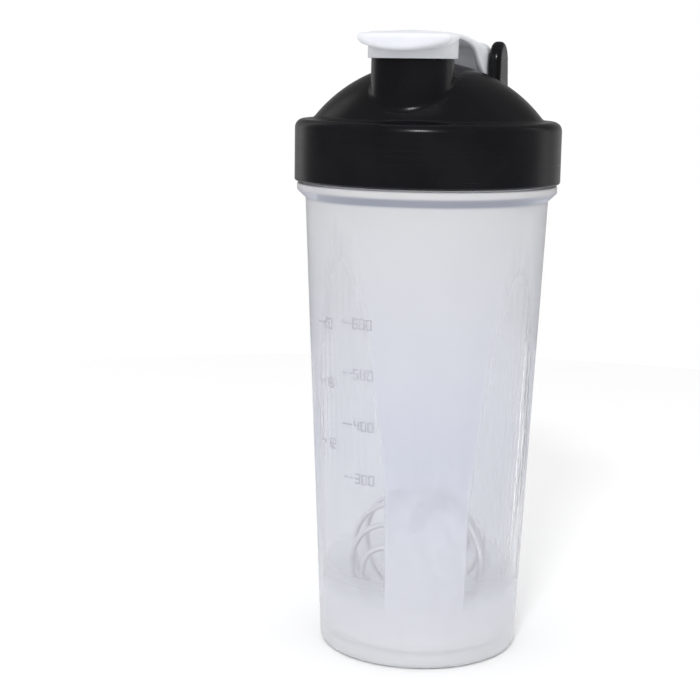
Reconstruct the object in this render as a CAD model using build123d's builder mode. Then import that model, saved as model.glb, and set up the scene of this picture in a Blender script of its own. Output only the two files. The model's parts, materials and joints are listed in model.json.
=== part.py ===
"""A protein shaker bottle: tapered cup, screw lid with a domed top, flip cap over the spout, sealing ring and
a loose wire whisk ball. Millimetres and degrees. +Z is up and the origin is the centre of the cup's base. The
spout is toward -Y and the flip cap's hinge toward +Y. An azimuth is measured about +Z from -Y toward +X."""

import math
import os

from build123d import *

# ---- Cup: a tapered body, a collar under the lid and a threaded neck ----
BASE_RADIUS = 38.0
BODY_TOP_RADIUS = 45.5
BODY_TOP_Z = 172.6
CUP_WALL = 1.8
BASE_CORNER_RADIUS = 3.0
FOOT_INNER_RADIUS = 31.0
FOOT_OUTER_RADIUS = 33.5
FLOOR_UNDER_Z = 3.9
FLOOR_TOP_Z = 5.9
FLOOR_CORNER_RADIUS = 5.0
COLLAR_RADIUS = 48.7
COLLAR_LOW_Z = 175.6
COLLAR_TOP_Z = 178.3
COLLAR_EDGE_RADIUS = 1.2
NECK_RADIUS = 45.6
NECK_INNER_RADIUS = 43.7
RIM_Z = 198.0
RIM_EDGE_RADIUS = 0.7

# ---- Screw thread between the neck and the lid ----
THREAD_LEAD = 6.0
THREAD_TURNS = 1.1
THREAD_START_Z = 184.0
THREAD_HEIGHT = 1.3
THREAD_ROOT_WIDTH = 2.6
THREAD_CREST_WIDTH = 1.3
THREAD_SINK = 0.35

# ---- Screw lid: band, ledge, dome, spout and two hinge ears ----
LID_RADIUS = 49.7
LID_INNER_RADIUS = 47.5
LID_LOW_Z = 179.0
LEDGE_Z = 201.8
BAND_CORNER_RADIUS = 3.6
BAND_LOWER_EDGE = 0.6
DOME_FOOT_FILLET = 1.0
LID_CEILING_Z = 199.9
DOME_RADIUS = 54.0
DOME_PEAK_Z = 223.2
DOME_CENTRE_Z = DOME_PEAK_Z - DOME_RADIUS
LID_WALL = 2.0
FIN_INNER_RADIUS = 41.9
FIN_OUTER_RADIUS = 43.1
FIN_LOW_Z = 195.6

SPOUT_Y = -24.4
SPOUT_FOOT_RADIUS = 15.1
SPOUT_TAPER = 0.57
SPOUT_BORE_RADIUS = 13.2
SPOUT_TOP_Z = 230.4
SPOUT_FOOT_Z = 196.0
SPOUT_FOOT_FILLET = 1.6

HINGE_Y = 31.5
HINGE_Z = 223.2
EAR_RADIUS = 8.0
EAR_INNER_X = 17.2
EAR_THICKNESS = 4.8
EAR_FOOT_Z = 198.0
EAR_FRONT_FLARE = 5.0
EAR_BACK_FLARE = 8.0
EAR_EDGE_RADIUS = 1.5
EAR_SHARP_HEIGHT = 1.0

# ---- Sealing ring under the lid ----
SEAL_INNER_RADIUS = 43.9
SEAL_OUTER_RADIUS = 46.4
SEAL_LOW_Z = RIM_Z + 0.05
SEAL_TOP_Z = LID_CEILING_Z - 0.05
SEAL_EDGE_RADIUS = 0.5

# ---- Flip cap: crowned disc with a thumb lip, skirt, plug, arched arm and two trunnions ----
CAP_TOP_Z = 234.0
CAP_RIM_Z = 230.9
CAP_CROWN_RADIUS = 150.0
CAP_RIM_RADIUS = 16.5
CAP_EDGE_RADIUS = 1.0
LIP_RADIUS = 22.0
LIP_HALF_ANGLE = 49.0
LIP_LOW_Z = 227.4
LIP_CORNER_RADIUS = 3.2
LIP_EDGE_RADIUS = 1.5
SKIRT_RADIUS = 16.1
SKIRT_INNER_RADIUS = 15.1
SKIRT_LOW_Z = 224.0
PLUG_RADIUS = 12.9
PLUG_TIP_RADIUS = 12.5
PLUG_WALL = 1.3
PLUG_LOW_Z = 226.4
ARM_WALL = 2.0
ARM_START_Y = -20.0
ARM_START_HALF_WIDTH = 13.4
ARM_END_HALF_WIDTH = 16.8
ARM_WIDENING_Y = 18.0
ARM_END_RADIUS = 7.5
ARM_PLAN_LOW_Z = 205.0
ARM_TIP_ANGLE = -110.0
ARM_HOLLOW_TIP_ANGLE = -60.0
ARM_TOP_POINTS = [
    (ARM_START_Y, 233.4),
    (-6.0, 232.9),
    (8.0, 231.4),
    (20.0, 230.7),
    (HINGE_Y, HINGE_Z + ARM_END_RADIUS),
]
ARM_LOW_POINTS = [
    (23.0, 218.6),
    (17.0, 220.6),
    (11.5, 225.2),
    (5.0, 228.9),
    (-3.0, 230.5),
    (ARM_START_Y, 231.0),
]
TRUNNION_RADIUS = 2.5
TRUNNION_LENGTH = 2.6
SOCKET_RADIUS = 2.56
SOCKET_DEPTH = 2.9

# ---- Whisk ball: one steel wire wound as a spiral over a sphere ----
WIRE_RADIUS = 1.1
BALL_RADIUS = 26.0
BALL_POLE_ANGLE = 24.0
BALL_TURNS = 7
BALL_LOOP_STEP = 6.2
BALL_AZIMUTH = -11.0
BALL_DIP = 8.0
BALL_POINTS_PER_TURN = 12
BALL_Z = FLOOR_TOP_Z + BALL_RADIUS + WIRE_RADIUS + 0.1

PARTS_FOLDER = "parts"


def azimuth_direction(azimuth):
    """Unit vector in the XY plane at an azimuth from -Y toward +X."""
    return Vector(math.sin(math.radians(azimuth)), -math.cos(math.radians(azimuth)), 0)


def body_radius(z):
    """Outer radius of the cup's tapered body at a height."""
    return BASE_RADIUS + (BODY_TOP_RADIUS - BASE_RADIUS) * z / BODY_TOP_Z


def helix_thread(root_radius, outward, turn_start_z, turns):
    """A trapezoidal screw ridge on a cylinder, its root sunk a little into the wall it stands on."""
    side = 1 if outward else -1
    with BuildPart() as ridge:
        with BuildLine() as path:
            Helix(THREAD_LEAD, THREAD_LEAD * turns, root_radius, center=(0, 0, turn_start_z))
        with BuildSketch(Plane.XZ):
            with BuildLine():
                Polyline(
                    (root_radius - side * THREAD_SINK, turn_start_z - THREAD_ROOT_WIDTH / 2),
                    (root_radius - side * THREAD_SINK, turn_start_z + THREAD_ROOT_WIDTH / 2),
                    (root_radius + side * THREAD_HEIGHT, turn_start_z + THREAD_CREST_WIDTH / 2),
                    (root_radius + side * THREAD_HEIGHT, turn_start_z - THREAD_CREST_WIDTH / 2),
                    close=True,
                )
            make_face()
        sweep(path=path.line, is_frenet=True)
    return ridge.part


def point_on_lip(radius, angle):
    """A point in the disc's plane, seen from the spout's axis, at an angle from the front."""
    return (radius * math.sin(math.radians(angle)), -radius * math.cos(math.radians(angle)))


def crown_point(radius):
    """A point on the cap's crowned top at a radius from the spout's axis, as radius and height."""
    return (radius, CAP_TOP_Z - CAP_CROWN_RADIUS + math.sqrt(CAP_CROWN_RADIUS**2 - radius**2))


def point_round_hinge(radius, angle):
    """A point in the YZ plane at a radius and angle round the hinge axis."""
    turn = math.radians(angle)
    return (HINGE_Y + radius * math.cos(turn), HINGE_Z + radius * math.sin(turn))


def ear_foot_point(angle):
    """Where an ear's straight edge, leaving its round top at an angle, ends inside the dome."""
    y, z = point_round_hinge(EAR_RADIUS, angle)
    lean = math.tan(math.radians(angle if angle < 90 else 180 - angle))
    side = 1 if angle < 90 else -1
    return (y + side * lean * (z - EAR_FOOT_Z), EAR_FOOT_Z)


def corner_near(sketch_corners, radius, z):
    """The profile's corner nearest to a radius and height."""
    return sketch_corners.sort_by_distance((radius, z, 0))[0]


def plan_block(start_half_width, end_half_width):
    """A tall block with the arm's plan outline, which widens from the disc to the hinge."""
    with BuildPart() as block:
        with BuildSketch(Plane.XY.offset(ARM_PLAN_LOW_Z)):
            with BuildLine():
                Polyline(
                    (start_half_width, ARM_START_Y),
                    (end_half_width, ARM_WIDENING_Y),
                    (end_half_width, HINGE_Y + ARM_END_RADIUS),
                    (-end_half_width, HINGE_Y + ARM_END_RADIUS),
                    (-end_half_width, ARM_WIDENING_Y),
                    (-start_half_width, ARM_START_Y),
                    close=True,
                )
            make_face()
        extrude(amount=CAP_TOP_Z - ARM_PLAN_LOW_Z)
    return block.part


def wire_point(turn):
    """A point on the whisk wire after a number of turns. The first and last turns are tight pole loops."""
    tilt = math.radians(BALL_DIP)
    pole_axis = azimuth_direction(BALL_AZIMUTH) * math.cos(tilt) - Vector(0, 0, math.sin(tilt))
    ball_plane = Plane(origin=(0, 0, BALL_Z), z_dir=pole_axis)
    span = 180 - 2 * BALL_POLE_ANGLE - 2 * BALL_LOOP_STEP
    middle = min(max(turn - 1, 0), BALL_TURNS - 2) / (BALL_TURNS - 2)
    loops = min(turn, 1) + max(turn - (BALL_TURNS - 1), 0)
    polar = math.radians(BALL_POLE_ANGLE + BALL_LOOP_STEP * loops + span * middle)
    around = 2 * math.pi * turn
    local = Vector(
        BALL_RADIUS * math.sin(polar) * math.cos(around),
        BALL_RADIUS * math.sin(polar) * math.sin(around),
        BALL_RADIUS * math.cos(polar),
    )
    return ball_plane.from_local_coords(local)


os.makedirs(PARTS_FOLDER, exist_ok=True)

# ---- Cup ----
floor_radius = body_radius(FLOOR_TOP_Z) - CUP_WALL
with BuildPart() as cup:
    with BuildSketch(Plane.XZ) as cup_profile:
        with BuildLine():
            Polyline(
                (0, FLOOR_UNDER_Z),
                (FOOT_INNER_RADIUS, FLOOR_UNDER_Z),
                (FOOT_OUTER_RADIUS, 0),
                (BASE_RADIUS, 0),
                (BODY_TOP_RADIUS, BODY_TOP_Z),
                (COLLAR_RADIUS, COLLAR_LOW_Z),
                (COLLAR_RADIUS, COLLAR_TOP_Z),
                (NECK_RADIUS, COLLAR_TOP_Z),
                (NECK_RADIUS, RIM_Z),
                (NECK_INNER_RADIUS, RIM_Z),
                (BODY_TOP_RADIUS - CUP_WALL, BODY_TOP_Z),
                (floor_radius, FLOOR_TOP_Z),
                (0, FLOOR_TOP_Z),
                close=True,
            )
        make_face()
        fillet(corner_near(cup_profile.vertices(), BASE_RADIUS, 0), BASE_CORNER_RADIUS)
        fillet(corner_near(cup_profile.vertices(), floor_radius, FLOOR_TOP_Z), FLOOR_CORNER_RADIUS)
        fillet(corner_near(cup_profile.vertices(), COLLAR_RADIUS, COLLAR_LOW_Z), COLLAR_EDGE_RADIUS)
        fillet(corner_near(cup_profile.vertices(), COLLAR_RADIUS, COLLAR_TOP_Z), RIM_EDGE_RADIUS)
        fillet(corner_near(cup_profile.vertices(), NECK_RADIUS, RIM_Z), RIM_EDGE_RADIUS)
        fillet(corner_near(cup_profile.vertices(), NECK_INNER_RADIUS, RIM_Z), RIM_EDGE_RADIUS)
    revolve(axis=Axis.Z)
    add(helix_thread(NECK_RADIUS, True, THREAD_START_Z, THREAD_TURNS))

cup.part.label = "cup"
export_step(cup.part, f"{PARTS_FOLDER}/cup.step")

# ---- Screw lid: everything outside first, then the hollow, the fin and the thread inside ----
inner_dome_radius = DOME_RADIUS - LID_WALL
dome_foot_radius = math.sqrt(DOME_RADIUS**2 - (LEDGE_Z - DOME_CENTRE_Z) ** 2)
fin_dome_z = DOME_CENTRE_Z + math.sqrt(inner_dome_radius**2 - FIN_INNER_RADIUS**2)
with BuildPart() as ear:
    with BuildSketch(Plane.YZ):
        with BuildLine():
            CenterArc((HINGE_Y, HINGE_Z), EAR_RADIUS, EAR_BACK_FLARE, 180 - EAR_FRONT_FLARE - EAR_BACK_FLARE)
            Polyline(
                point_round_hinge(EAR_RADIUS, 180 - EAR_FRONT_FLARE),
                ear_foot_point(180 - EAR_FRONT_FLARE),
                ear_foot_point(EAR_BACK_FLARE),
                point_round_hinge(EAR_RADIUS, EAR_BACK_FLARE),
            )
        make_face()
    extrude(amount=EAR_THICKNESS / 2, both=True)
    ear_edges = ear.edges().filter_by(Plane.YZ)
    fillet(ear_edges.filter_by(lambda edge: edge.center().Z > EAR_FOOT_Z + EAR_SHARP_HEIGHT), EAR_EDGE_RADIUS)

with BuildPart() as screw_lid:
    with BuildSketch(Plane.XZ) as lid_outside:
        with BuildLine():
            RadiusArc((dome_foot_radius, LEDGE_Z), (0, DOME_PEAK_Z), -DOME_RADIUS)
            Polyline(
                (0, DOME_PEAK_Z),
                (0, LID_LOW_Z),
                (LID_RADIUS, LID_LOW_Z),
                (LID_RADIUS, LEDGE_Z),
                (dome_foot_radius, LEDGE_Z),
            )
        make_face()
        fillet(corner_near(lid_outside.vertices(), LID_RADIUS, LEDGE_Z), BAND_CORNER_RADIUS)
        fillet(corner_near(lid_outside.vertices(), LID_RADIUS, LID_LOW_Z), BAND_LOWER_EDGE)
        fillet(corner_near(lid_outside.vertices(), dome_foot_radius, LEDGE_Z), DOME_FOOT_FILLET)
    revolve(axis=Axis.Z)
    with BuildSketch(Plane((0, SPOUT_Y, SPOUT_FOOT_Z))):
        Circle(SPOUT_FOOT_RADIUS)
    extrude(amount=SPOUT_TOP_Z - SPOUT_FOOT_Z, taper=SPOUT_TAPER)
    spout_joint = screw_lid.edges(Select.NEW).filter_by(GeomType.BSPLINE)
    fillet(spout_joint, SPOUT_FOOT_FILLET)
    for side in (-1, 1):
        add(Pos(side * (EAR_INNER_X + EAR_THICKNESS / 2), 0, 0) * ear.part)
    with BuildSketch(Plane.XZ) as lid_hollow:
        with BuildLine():
            RadiusArc((FIN_INNER_RADIUS, fin_dome_z), (0, DOME_PEAK_Z - LID_WALL), -inner_dome_radius)
            Polyline(
                (0, DOME_PEAK_Z - LID_WALL),
                (0, LID_LOW_Z),
                (LID_INNER_RADIUS, LID_LOW_Z),
                (LID_INNER_RADIUS, LID_CEILING_Z),
                (FIN_OUTER_RADIUS, LID_CEILING_Z),
                (FIN_OUTER_RADIUS, FIN_LOW_Z),
                (FIN_INNER_RADIUS, FIN_LOW_Z),
                (FIN_INNER_RADIUS, fin_dome_z),
            )
        make_face()
    revolve(axis=Axis.Z, mode=Mode.SUBTRACT)
    with BuildSketch(Plane((0, SPOUT_Y, SPOUT_FOOT_Z))):
        Circle(SPOUT_BORE_RADIUS)
    extrude(amount=SPOUT_TOP_Z - SPOUT_FOOT_Z, mode=Mode.SUBTRACT)
    for side in (-1, 1):
        with BuildSketch(Plane(origin=(side * EAR_INNER_X, HINGE_Y, HINGE_Z), z_dir=(side, 0, 0))):
            Circle(SOCKET_RADIUS)
        extrude(amount=SOCKET_DEPTH, mode=Mode.SUBTRACT)
    add(helix_thread(LID_INNER_RADIUS, False, THREAD_START_Z - THREAD_LEAD / 2, THREAD_TURNS))

screw_lid.part.label = "screw_lid"
export_step(screw_lid.part, f"{PARTS_FOLDER}/screw_lid.step")

# ---- Sealing ring ----
with BuildPart() as lid_seal_ring:
    with BuildSketch(Plane.XZ):
        with Locations(((SEAL_INNER_RADIUS + SEAL_OUTER_RADIUS) / 2, (SEAL_LOW_Z + SEAL_TOP_Z) / 2)):
            RectangleRounded(SEAL_OUTER_RADIUS - SEAL_INNER_RADIUS, SEAL_TOP_Z - SEAL_LOW_Z, SEAL_EDGE_RADIUS)
    revolve(axis=Axis.Z)

lid_seal_ring.part.label = "lid_seal_ring"
export_step(lid_seal_ring.part, f"{PARTS_FOLDER}/lid_seal_ring.step")

# ---- Flip cap: an arched arm, the crowned disc with its lip, skirt and plug, and the trunnions ----
hollow_radius = ARM_END_RADIUS - ARM_WALL
with BuildPart() as arm_hollow:
    with BuildSketch(Plane.YZ.offset(-ARM_END_HALF_WIDTH)):
        with BuildLine():
            Spline(*[(y, z - ARM_WALL) for y, z in ARM_TOP_POINTS], tangents=((1, 0), (1, 0)))
            CenterArc((HINGE_Y, HINGE_Z), hollow_radius, 90, ARM_HOLLOW_TIP_ANGLE - 90)
            Polyline(
                point_round_hinge(hollow_radius, ARM_HOLLOW_TIP_ANGLE),
                (HINGE_Y, ARM_PLAN_LOW_Z),
                (ARM_START_Y, ARM_PLAN_LOW_Z),
                (ARM_START_Y, ARM_TOP_POINTS[0][1] - ARM_WALL),
            )
        make_face()
    extrude(amount=2 * ARM_END_HALF_WIDTH)
    add(plan_block(ARM_START_HALF_WIDTH - ARM_WALL, ARM_END_HALF_WIDTH - ARM_WALL), mode=Mode.INTERSECT)

spout_axis = Axis((0, SPOUT_Y, 0), (0, 0, 1))
with BuildPart() as cap_disc:
    with BuildSketch(Plane.XZ.offset(-SPOUT_Y)) as disc_profile:
        with BuildLine():
            ThreePointArc((0, CAP_TOP_Z), crown_point(CAP_RIM_RADIUS / 2), crown_point(CAP_RIM_RADIUS))
            Polyline(crown_point(CAP_RIM_RADIUS), (CAP_RIM_RADIUS, CAP_RIM_Z), (0, CAP_RIM_Z), (0, CAP_TOP_Z))
        make_face()
        fillet(corner_near(disc_profile.vertices(), *crown_point(CAP_RIM_RADIUS)), CAP_EDGE_RADIUS)
        fillet(corner_near(disc_profile.vertices(), CAP_RIM_RADIUS, CAP_RIM_Z), CAP_EDGE_RADIUS / 2)
    revolve(axis=spout_axis)
    with BuildSketch(Plane.XZ.offset(-SPOUT_Y)) as skirt_profile:
        with BuildLine():
            Polyline(
                (PLUG_RADIUS, CAP_RIM_Z),
                (PLUG_TIP_RADIUS, PLUG_LOW_Z),
                (PLUG_TIP_RADIUS - PLUG_WALL, PLUG_LOW_Z),
                (PLUG_TIP_RADIUS - PLUG_WALL, CAP_RIM_Z),
                close=True,
            )
        make_face()
        with Locations(((SKIRT_RADIUS + SKIRT_INNER_RADIUS) / 2, (CAP_RIM_Z + SKIRT_LOW_Z) / 2)):
            Rectangle(SKIRT_RADIUS - SKIRT_INNER_RADIUS, CAP_RIM_Z - SKIRT_LOW_Z)
    revolve(axis=spout_axis)

with BuildPart() as thumb_lip:
    with BuildSketch(Plane((0, SPOUT_Y, LIP_LOW_Z))) as lip_outline:
        with BuildLine():
            left = point_on_lip(LIP_RADIUS, -LIP_HALF_ANGLE)
            right = point_on_lip(LIP_RADIUS, LIP_HALF_ANGLE)
            ThreePointArc(left, (0, -LIP_RADIUS), right)
            Polyline(right, (0, 0), left)
        make_face()
        tips = lip_outline.vertices().sort_by(lambda corner: -corner.center().length)[:2]
        fillet(tips, LIP_CORNER_RADIUS)
        Circle((SKIRT_RADIUS + SKIRT_INNER_RADIUS) / 2, mode=Mode.SUBTRACT)
    extrude(amount=CAP_TOP_Z - LIP_LOW_Z)
    with BuildSketch(Plane.XZ.offset(-SPOUT_Y)) as lip_profile:
        with BuildLine():
            ThreePointArc((0, CAP_TOP_Z), crown_point(LIP_RADIUS / 2), crown_point(LIP_RADIUS))
            Polyline(crown_point(LIP_RADIUS), (LIP_RADIUS, LIP_LOW_Z), (0, LIP_LOW_Z), (0, CAP_TOP_Z))
        make_face()
        fillet(corner_near(lip_profile.vertices(), *crown_point(LIP_RADIUS)), LIP_EDGE_RADIUS)
        fillet(corner_near(lip_profile.vertices(), LIP_RADIUS, LIP_LOW_Z), LIP_EDGE_RADIUS)
    revolve(axis=spout_axis, mode=Mode.INTERSECT)

arm_tip_tangent = (math.sin(math.radians(ARM_TIP_ANGLE)), -math.cos(math.radians(ARM_TIP_ANGLE)))
with BuildPart() as flip_cap:
    with BuildSketch(Plane.YZ.offset(-ARM_END_HALF_WIDTH)):
        with BuildLine():
            Spline(*ARM_TOP_POINTS, tangents=((1, 0), (1, 0)))
            CenterArc((HINGE_Y, HINGE_Z), ARM_END_RADIUS, 90, ARM_TIP_ANGLE - 90)
            Spline(
                point_round_hinge(ARM_END_RADIUS, ARM_TIP_ANGLE),
                *ARM_LOW_POINTS,
                tangents=(arm_tip_tangent, (-1, 0)),
            )
            Line(ARM_LOW_POINTS[-1], ARM_TOP_POINTS[0])
        make_face()
    extrude(amount=2 * ARM_END_HALF_WIDTH)
    add(plan_block(ARM_START_HALF_WIDTH, ARM_END_HALF_WIDTH), mode=Mode.INTERSECT)
    add(arm_hollow.part, mode=Mode.SUBTRACT)
    add(cap_disc.part)
    add(thumb_lip.part)
    for side in (-1, 1):
        trunnion_root = (side * (ARM_END_HALF_WIDTH - ARM_WALL), HINGE_Y, HINGE_Z)
        with BuildSketch(Plane(origin=trunnion_root, z_dir=(side, 0, 0))):
            Circle(TRUNNION_RADIUS)
        extrude(amount=ARM_WALL + TRUNNION_LENGTH)

flip_cap.part.label = "flip_cap"
export_step(flip_cap.part, f"{PARTS_FOLDER}/flip_cap.step")

# ---- Whisk ball: the wire's line winds from one pole loop to the other ----
with BuildPart() as whisk_ball:
    steps = BALL_TURNS * BALL_POINTS_PER_TURN
    with BuildLine() as wire_line:
        Spline(*[wire_point(step / BALL_POINTS_PER_TURN) for step in range(steps + 1)])
    with BuildSketch(Plane(origin=wire_line.line @ 0, z_dir=wire_line.line % 0)):
        Circle(WIRE_RADIUS)
    sweep(path=wire_line.line, is_frenet=False)

whisk_ball.part.label = "whisk_ball"
export_step(whisk_ball.part, f"{PARTS_FOLDER}/whisk_ball.step")
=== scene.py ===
"""The looks of a protein shaker bottle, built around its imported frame.

Lengths inside the shape functions are in millimetres along the frame's axes, and become metres in the meshes.
The black lid and the white flip cap are each one surface where a distance field is zero, and the cup is a
lathe grid with its windows pressed in and its thread and graduations raised. The whisk ball and the seal ring
are the frame's own pieces, given materials."""

import json
import math

import bpy
import numpy as np
from mathutils import Matrix, Vector


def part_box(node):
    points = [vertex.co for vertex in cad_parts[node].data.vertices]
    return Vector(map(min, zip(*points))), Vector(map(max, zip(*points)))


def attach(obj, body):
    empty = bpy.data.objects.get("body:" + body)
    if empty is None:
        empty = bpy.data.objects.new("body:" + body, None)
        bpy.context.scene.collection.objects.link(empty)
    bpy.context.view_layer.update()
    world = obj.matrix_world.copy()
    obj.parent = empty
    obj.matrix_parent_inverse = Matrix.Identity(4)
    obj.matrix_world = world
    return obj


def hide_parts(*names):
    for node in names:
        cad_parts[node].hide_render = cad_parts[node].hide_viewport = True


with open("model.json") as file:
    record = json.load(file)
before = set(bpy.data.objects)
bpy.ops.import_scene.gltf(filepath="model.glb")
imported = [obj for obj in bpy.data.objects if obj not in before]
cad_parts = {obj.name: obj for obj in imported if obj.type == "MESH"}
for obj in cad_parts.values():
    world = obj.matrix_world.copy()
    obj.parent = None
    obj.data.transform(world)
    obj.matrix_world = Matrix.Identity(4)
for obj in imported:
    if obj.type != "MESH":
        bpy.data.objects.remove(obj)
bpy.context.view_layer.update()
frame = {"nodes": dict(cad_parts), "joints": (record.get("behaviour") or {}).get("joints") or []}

MM = 0.001

# ---- Places read from the frame ----
JOINTS = {joint["name"]: joint for joint in frame["joints"]}
HINGE_Y, HINGE_Z = (value / MM for value in JOINTS["flip_cap_hinge"]["pos_m"][1:])
CUP_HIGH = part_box("cup")[1] / MM
LID_LOW, LID_HIGH = (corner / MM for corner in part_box("screw_lid"))
CAP_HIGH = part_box("flip_cap")[1] / MM

# ---- Cup ----
BASE_RADIUS = 38.0
BODY_TOP_RADIUS = 45.5
BODY_TOP_Z = 172.6
CUP_WALL = 1.8
FOOT_INNER_RADIUS = 31.0
FOOT_OUTER_RADIUS = 33.5
FLOOR_UNDER_Z = 3.9
FLOOR_TOP_Z = 5.9
COLLAR_RADIUS = CUP_HIGH.x
COLLAR_LOW_Z = 175.6
COLLAR_TOP_Z = 178.3
NECK_RADIUS = 45.6
NECK_INNER_RADIUS = 43.7
RIM_Z = CUP_HIGH.z
FOOT_ROUNDING = 1.0
BASE_ROUNDING = 3.0
COLLAR_FOOT_ROUNDING = 1.0
COLLAR_LOW_ROUNDING = 1.2
COLLAR_TOP_ROUNDING = 0.7
NECK_FOOT_ROUNDING = 0.3
RIM_ROUNDING = 0.7
INNER_SHOULDER_ROUNDING = 2.0
INNER_BASE_ROUNDING = 5.0
FILL_STEPS = 400
CUBIC_MM_PER_ML = 1000
CUP_COLUMNS = 498
FLOOR_ROW = 6.0
BODY_ROW = 2.8
EDGE_ROW = 2.0
NECK_ROW = 0.5
INNER_NECK_ROW = 4.0
INNER_BODY_ROW = 8.0

# ---- Clear windows in the cup: shallow upright flutes inside a tall arch, one each side of the front ----
CUP_FRONT_AZIMUTH = 18.0
WINDOW_OFFSET_ANGLE = 47.0
WINDOW_HALF_ANGLE = 25.5
ARCH_REACH = 1.2
WINDOW_LOW_Z = 21.0
WINDOW_LOW_FADE = 12.0
WINDOW_TOPS_Z = (172.0, 166.0)
WINDOW_ARCH_POWER = 2.1
ARCH_HEIGHT = 95.0
SILL_HEIGHTS = (30.0, 60.0)
FLUTE_HALF_ANGLE = 24.5
FLUTE_PITCH_ANGLE = 360 / 83
FLUTE_DEPTH = 0.24
CLEAR_EDGE_WIDTH = 0.8
ARCH_EDGE_WIDTH = 24.0
FLUTE_EDGE_WIDTH = 1.5
FLUTE_END_LENGTH = 16.0
FLUTE_LOWS_Z = (60.0, 27.0)

# ---- Graduations: raised ticks and plain numbers in the left window, for millilitres and fluid ounces ----
SCALES = (
    (-29.0, 1.0, (300, 400, 500, 600)),
    (-50.0, 29.57, (12, 16, 20)),
)
TICK_LENGTH = 4.4
STROKE_WIDTH = 0.42
STROKE_RAISE = 0.12
STROKE_CLEARNESS = 0.6
STROKE_SINK = 0.15
STROKE_STEPS = 4
DIGIT_WIDTH = 1.9
DIGIT_HEIGHT = 3.4
DIGIT_GAP = 1.1
DIGIT_STROKES = {
    "0": "abcdef", "1": "bc", "2": "abged", "3": "abgcd", "4": "fgbc", "5": "afgcd", "6": "afgedc",
}
STROKE_ENDS = {
    "a": ((0, 1), (1, 1)), "b": ((1, 0.5), (1, 1)), "c": ((1, 0), (1, 0.5)), "d": ((0, 0), (1, 0)),
    "e": ((0, 0), (0, 0.5)), "f": ((0, 0.5), (0, 1)), "g": ((0, 0.5), (1, 0.5)),
}

# ---- Screw thread ----
THREAD_LEAD = 6.0
THREAD_TURNS = 1.1
THREAD_START_Z = 184.0
THREAD_HEIGHT = 1.3
THREAD_ROOT_WIDTH = 2.6
THREAD_CREST_WIDTH = 1.3
THREAD_END_STEEPNESS = 20.0

# ---- Lid ----
LID_RADIUS = LID_HIGH.x
LID_INNER_RADIUS = 47.5
LID_LOW_Z = LID_LOW.z
LEDGE_Z = 201.8
BAND_CORNER_RADIUS = 3.4
BAND_LOWER_RADIUS = 0.7
CEILING_Z = 199.9
DOME_RADIUS = 54.0
DOME_CENTRE_Z = 169.2
DOME_CUT_Z = 196.0
LID_WALL = 2.0
FIN_INNER_RADIUS = 41.9
FIN_OUTER_RADIUS = 43.1
FIN_LOW_Z = 195.6
DOME_FOOT_FILLET = 1.2
SPOUT_Y = -24.4
SPOUT_FOOT_RADIUS = 15.1
SPOUT_TAPER = 0.01
SPOUT_BORE_RADIUS = 13.2
SPOUT_TOP_Z = 230.4
SPOUT_FOOT_Z = 196.0
SPOUT_FILLET = 0.9
SPOUT_EDGE_RADIUS = 0.5
CEILING_CORNER_RADIUS = 0.5
FIN_TIP_RADIUS = 0.4
EAR_RADIUS = 8.0
EAR_INNER_X = 17.2
EAR_THICKNESS = 4.8
EAR_FOOT_Z = 201.0
EAR_FRONT_LEAN = 5.0
EAR_BACK_LEAN = 8.0
EAR_EDGE_RADIUS = 1.9
EAR_FOOT_FILLET = 2.6
SOCKET_RADIUS = 2.56
SOCKET_DEPTH = 2.9
LID_CELL = 0.715

# ---- Flip cap ----
CAP_TOP_Z = CAP_HIGH.z
CROWN_RADIUS = 85.0
CROWN_EDGE_RADIUS = 0.9
LIP_CROWN_RADIUS = 150.0
RIM_LOW_Z = 230.9
RIM_DROP = 2.3
RIM_LEVEL_ANGLE = 100.0
RIM_RADIUS = 16.5
RIM_EDGE_RADIUS = 0.4
UNDERSIDE_EDGE_RADIUS = 0.5
LIP_RADIUS = 22.0
LIP_HALF_ANGLE = 57.0
LIP_CORNER_RADIUS = 3.6
LIP_LOW_Z = 226.7
LIP_RISE = 0.0100
LIP_EDGE_RADIUS = 2.0
LIP_TOP_EDGE_RADIUS = 1.2
LIP_FILLET = 1.6
SKIRT_RADIUS = 16.1
SKIRT_INNER_RADIUS = 15.1
SKIRT_LOW_Z = 224.0
SKIRT_EDGE_RADIUS = 0.35
PLUG_RADIUS = 12.9
PLUG_TIP_RADIUS = 12.5
PLUG_WALL = 1.3
PLUG_LOW_Z = 226.4
PLUG_EDGE_RADIUS = 0.5
WALL_ROOT_DEPTH = 1.0
WALL_ROOT_FILLET = 0.5
ARM_WALL = 2.0
ARM_EDGE_RADIUS = 0.6
ARM_HOLLOW_EDGE_RADIUS = 0.5
ARM_HOLLOW_CORNER_RADIUS = 0.4
ARM_FILLET = 1.2
ARM_START_Y = -20.0
ARM_TOP = (
    (-22.0, 233.2), (-14.0, 233.1), (-6.0, 232.9), (1.0, 232.2), (8.0, 231.4), (20.0, 230.7), (31.5, 230.7),
    (40.0, 230.7),
)
ARM_LOW = (
    (-22.0, 231.2), (-6.0, 231.0), (1.0, 229.9), (7.0, 227.9), (11.0, 225.0), (14.5, 221.8), (20.5, 218.6),
    (28.0, 216.2), (31.5, 215.7), (40.0, 215.7),
)
ARM_WIDTH = ((-22.0, 13.6), (-8.0, 14.3), (6.0, 15.8), (18.0, 16.7), (28.0, 16.8), (40.0, 16.8))
ARM_SHOULDER = (
    (-22.0, 0.8), (0.0, 0.9), (7.5, 1.5), (13.6, 2.6), (21.0, 4.3), (28.0, 4.6), (40.0, 4.6),
)
ARM_END_RADIUS = 7.5
TRUNNION_RADIUS = 2.5
TRUNNION_LENGTH = 2.6
TRUNNION_EDGE_RADIUS = 0.4
CAP_CELL = 0.46

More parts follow.
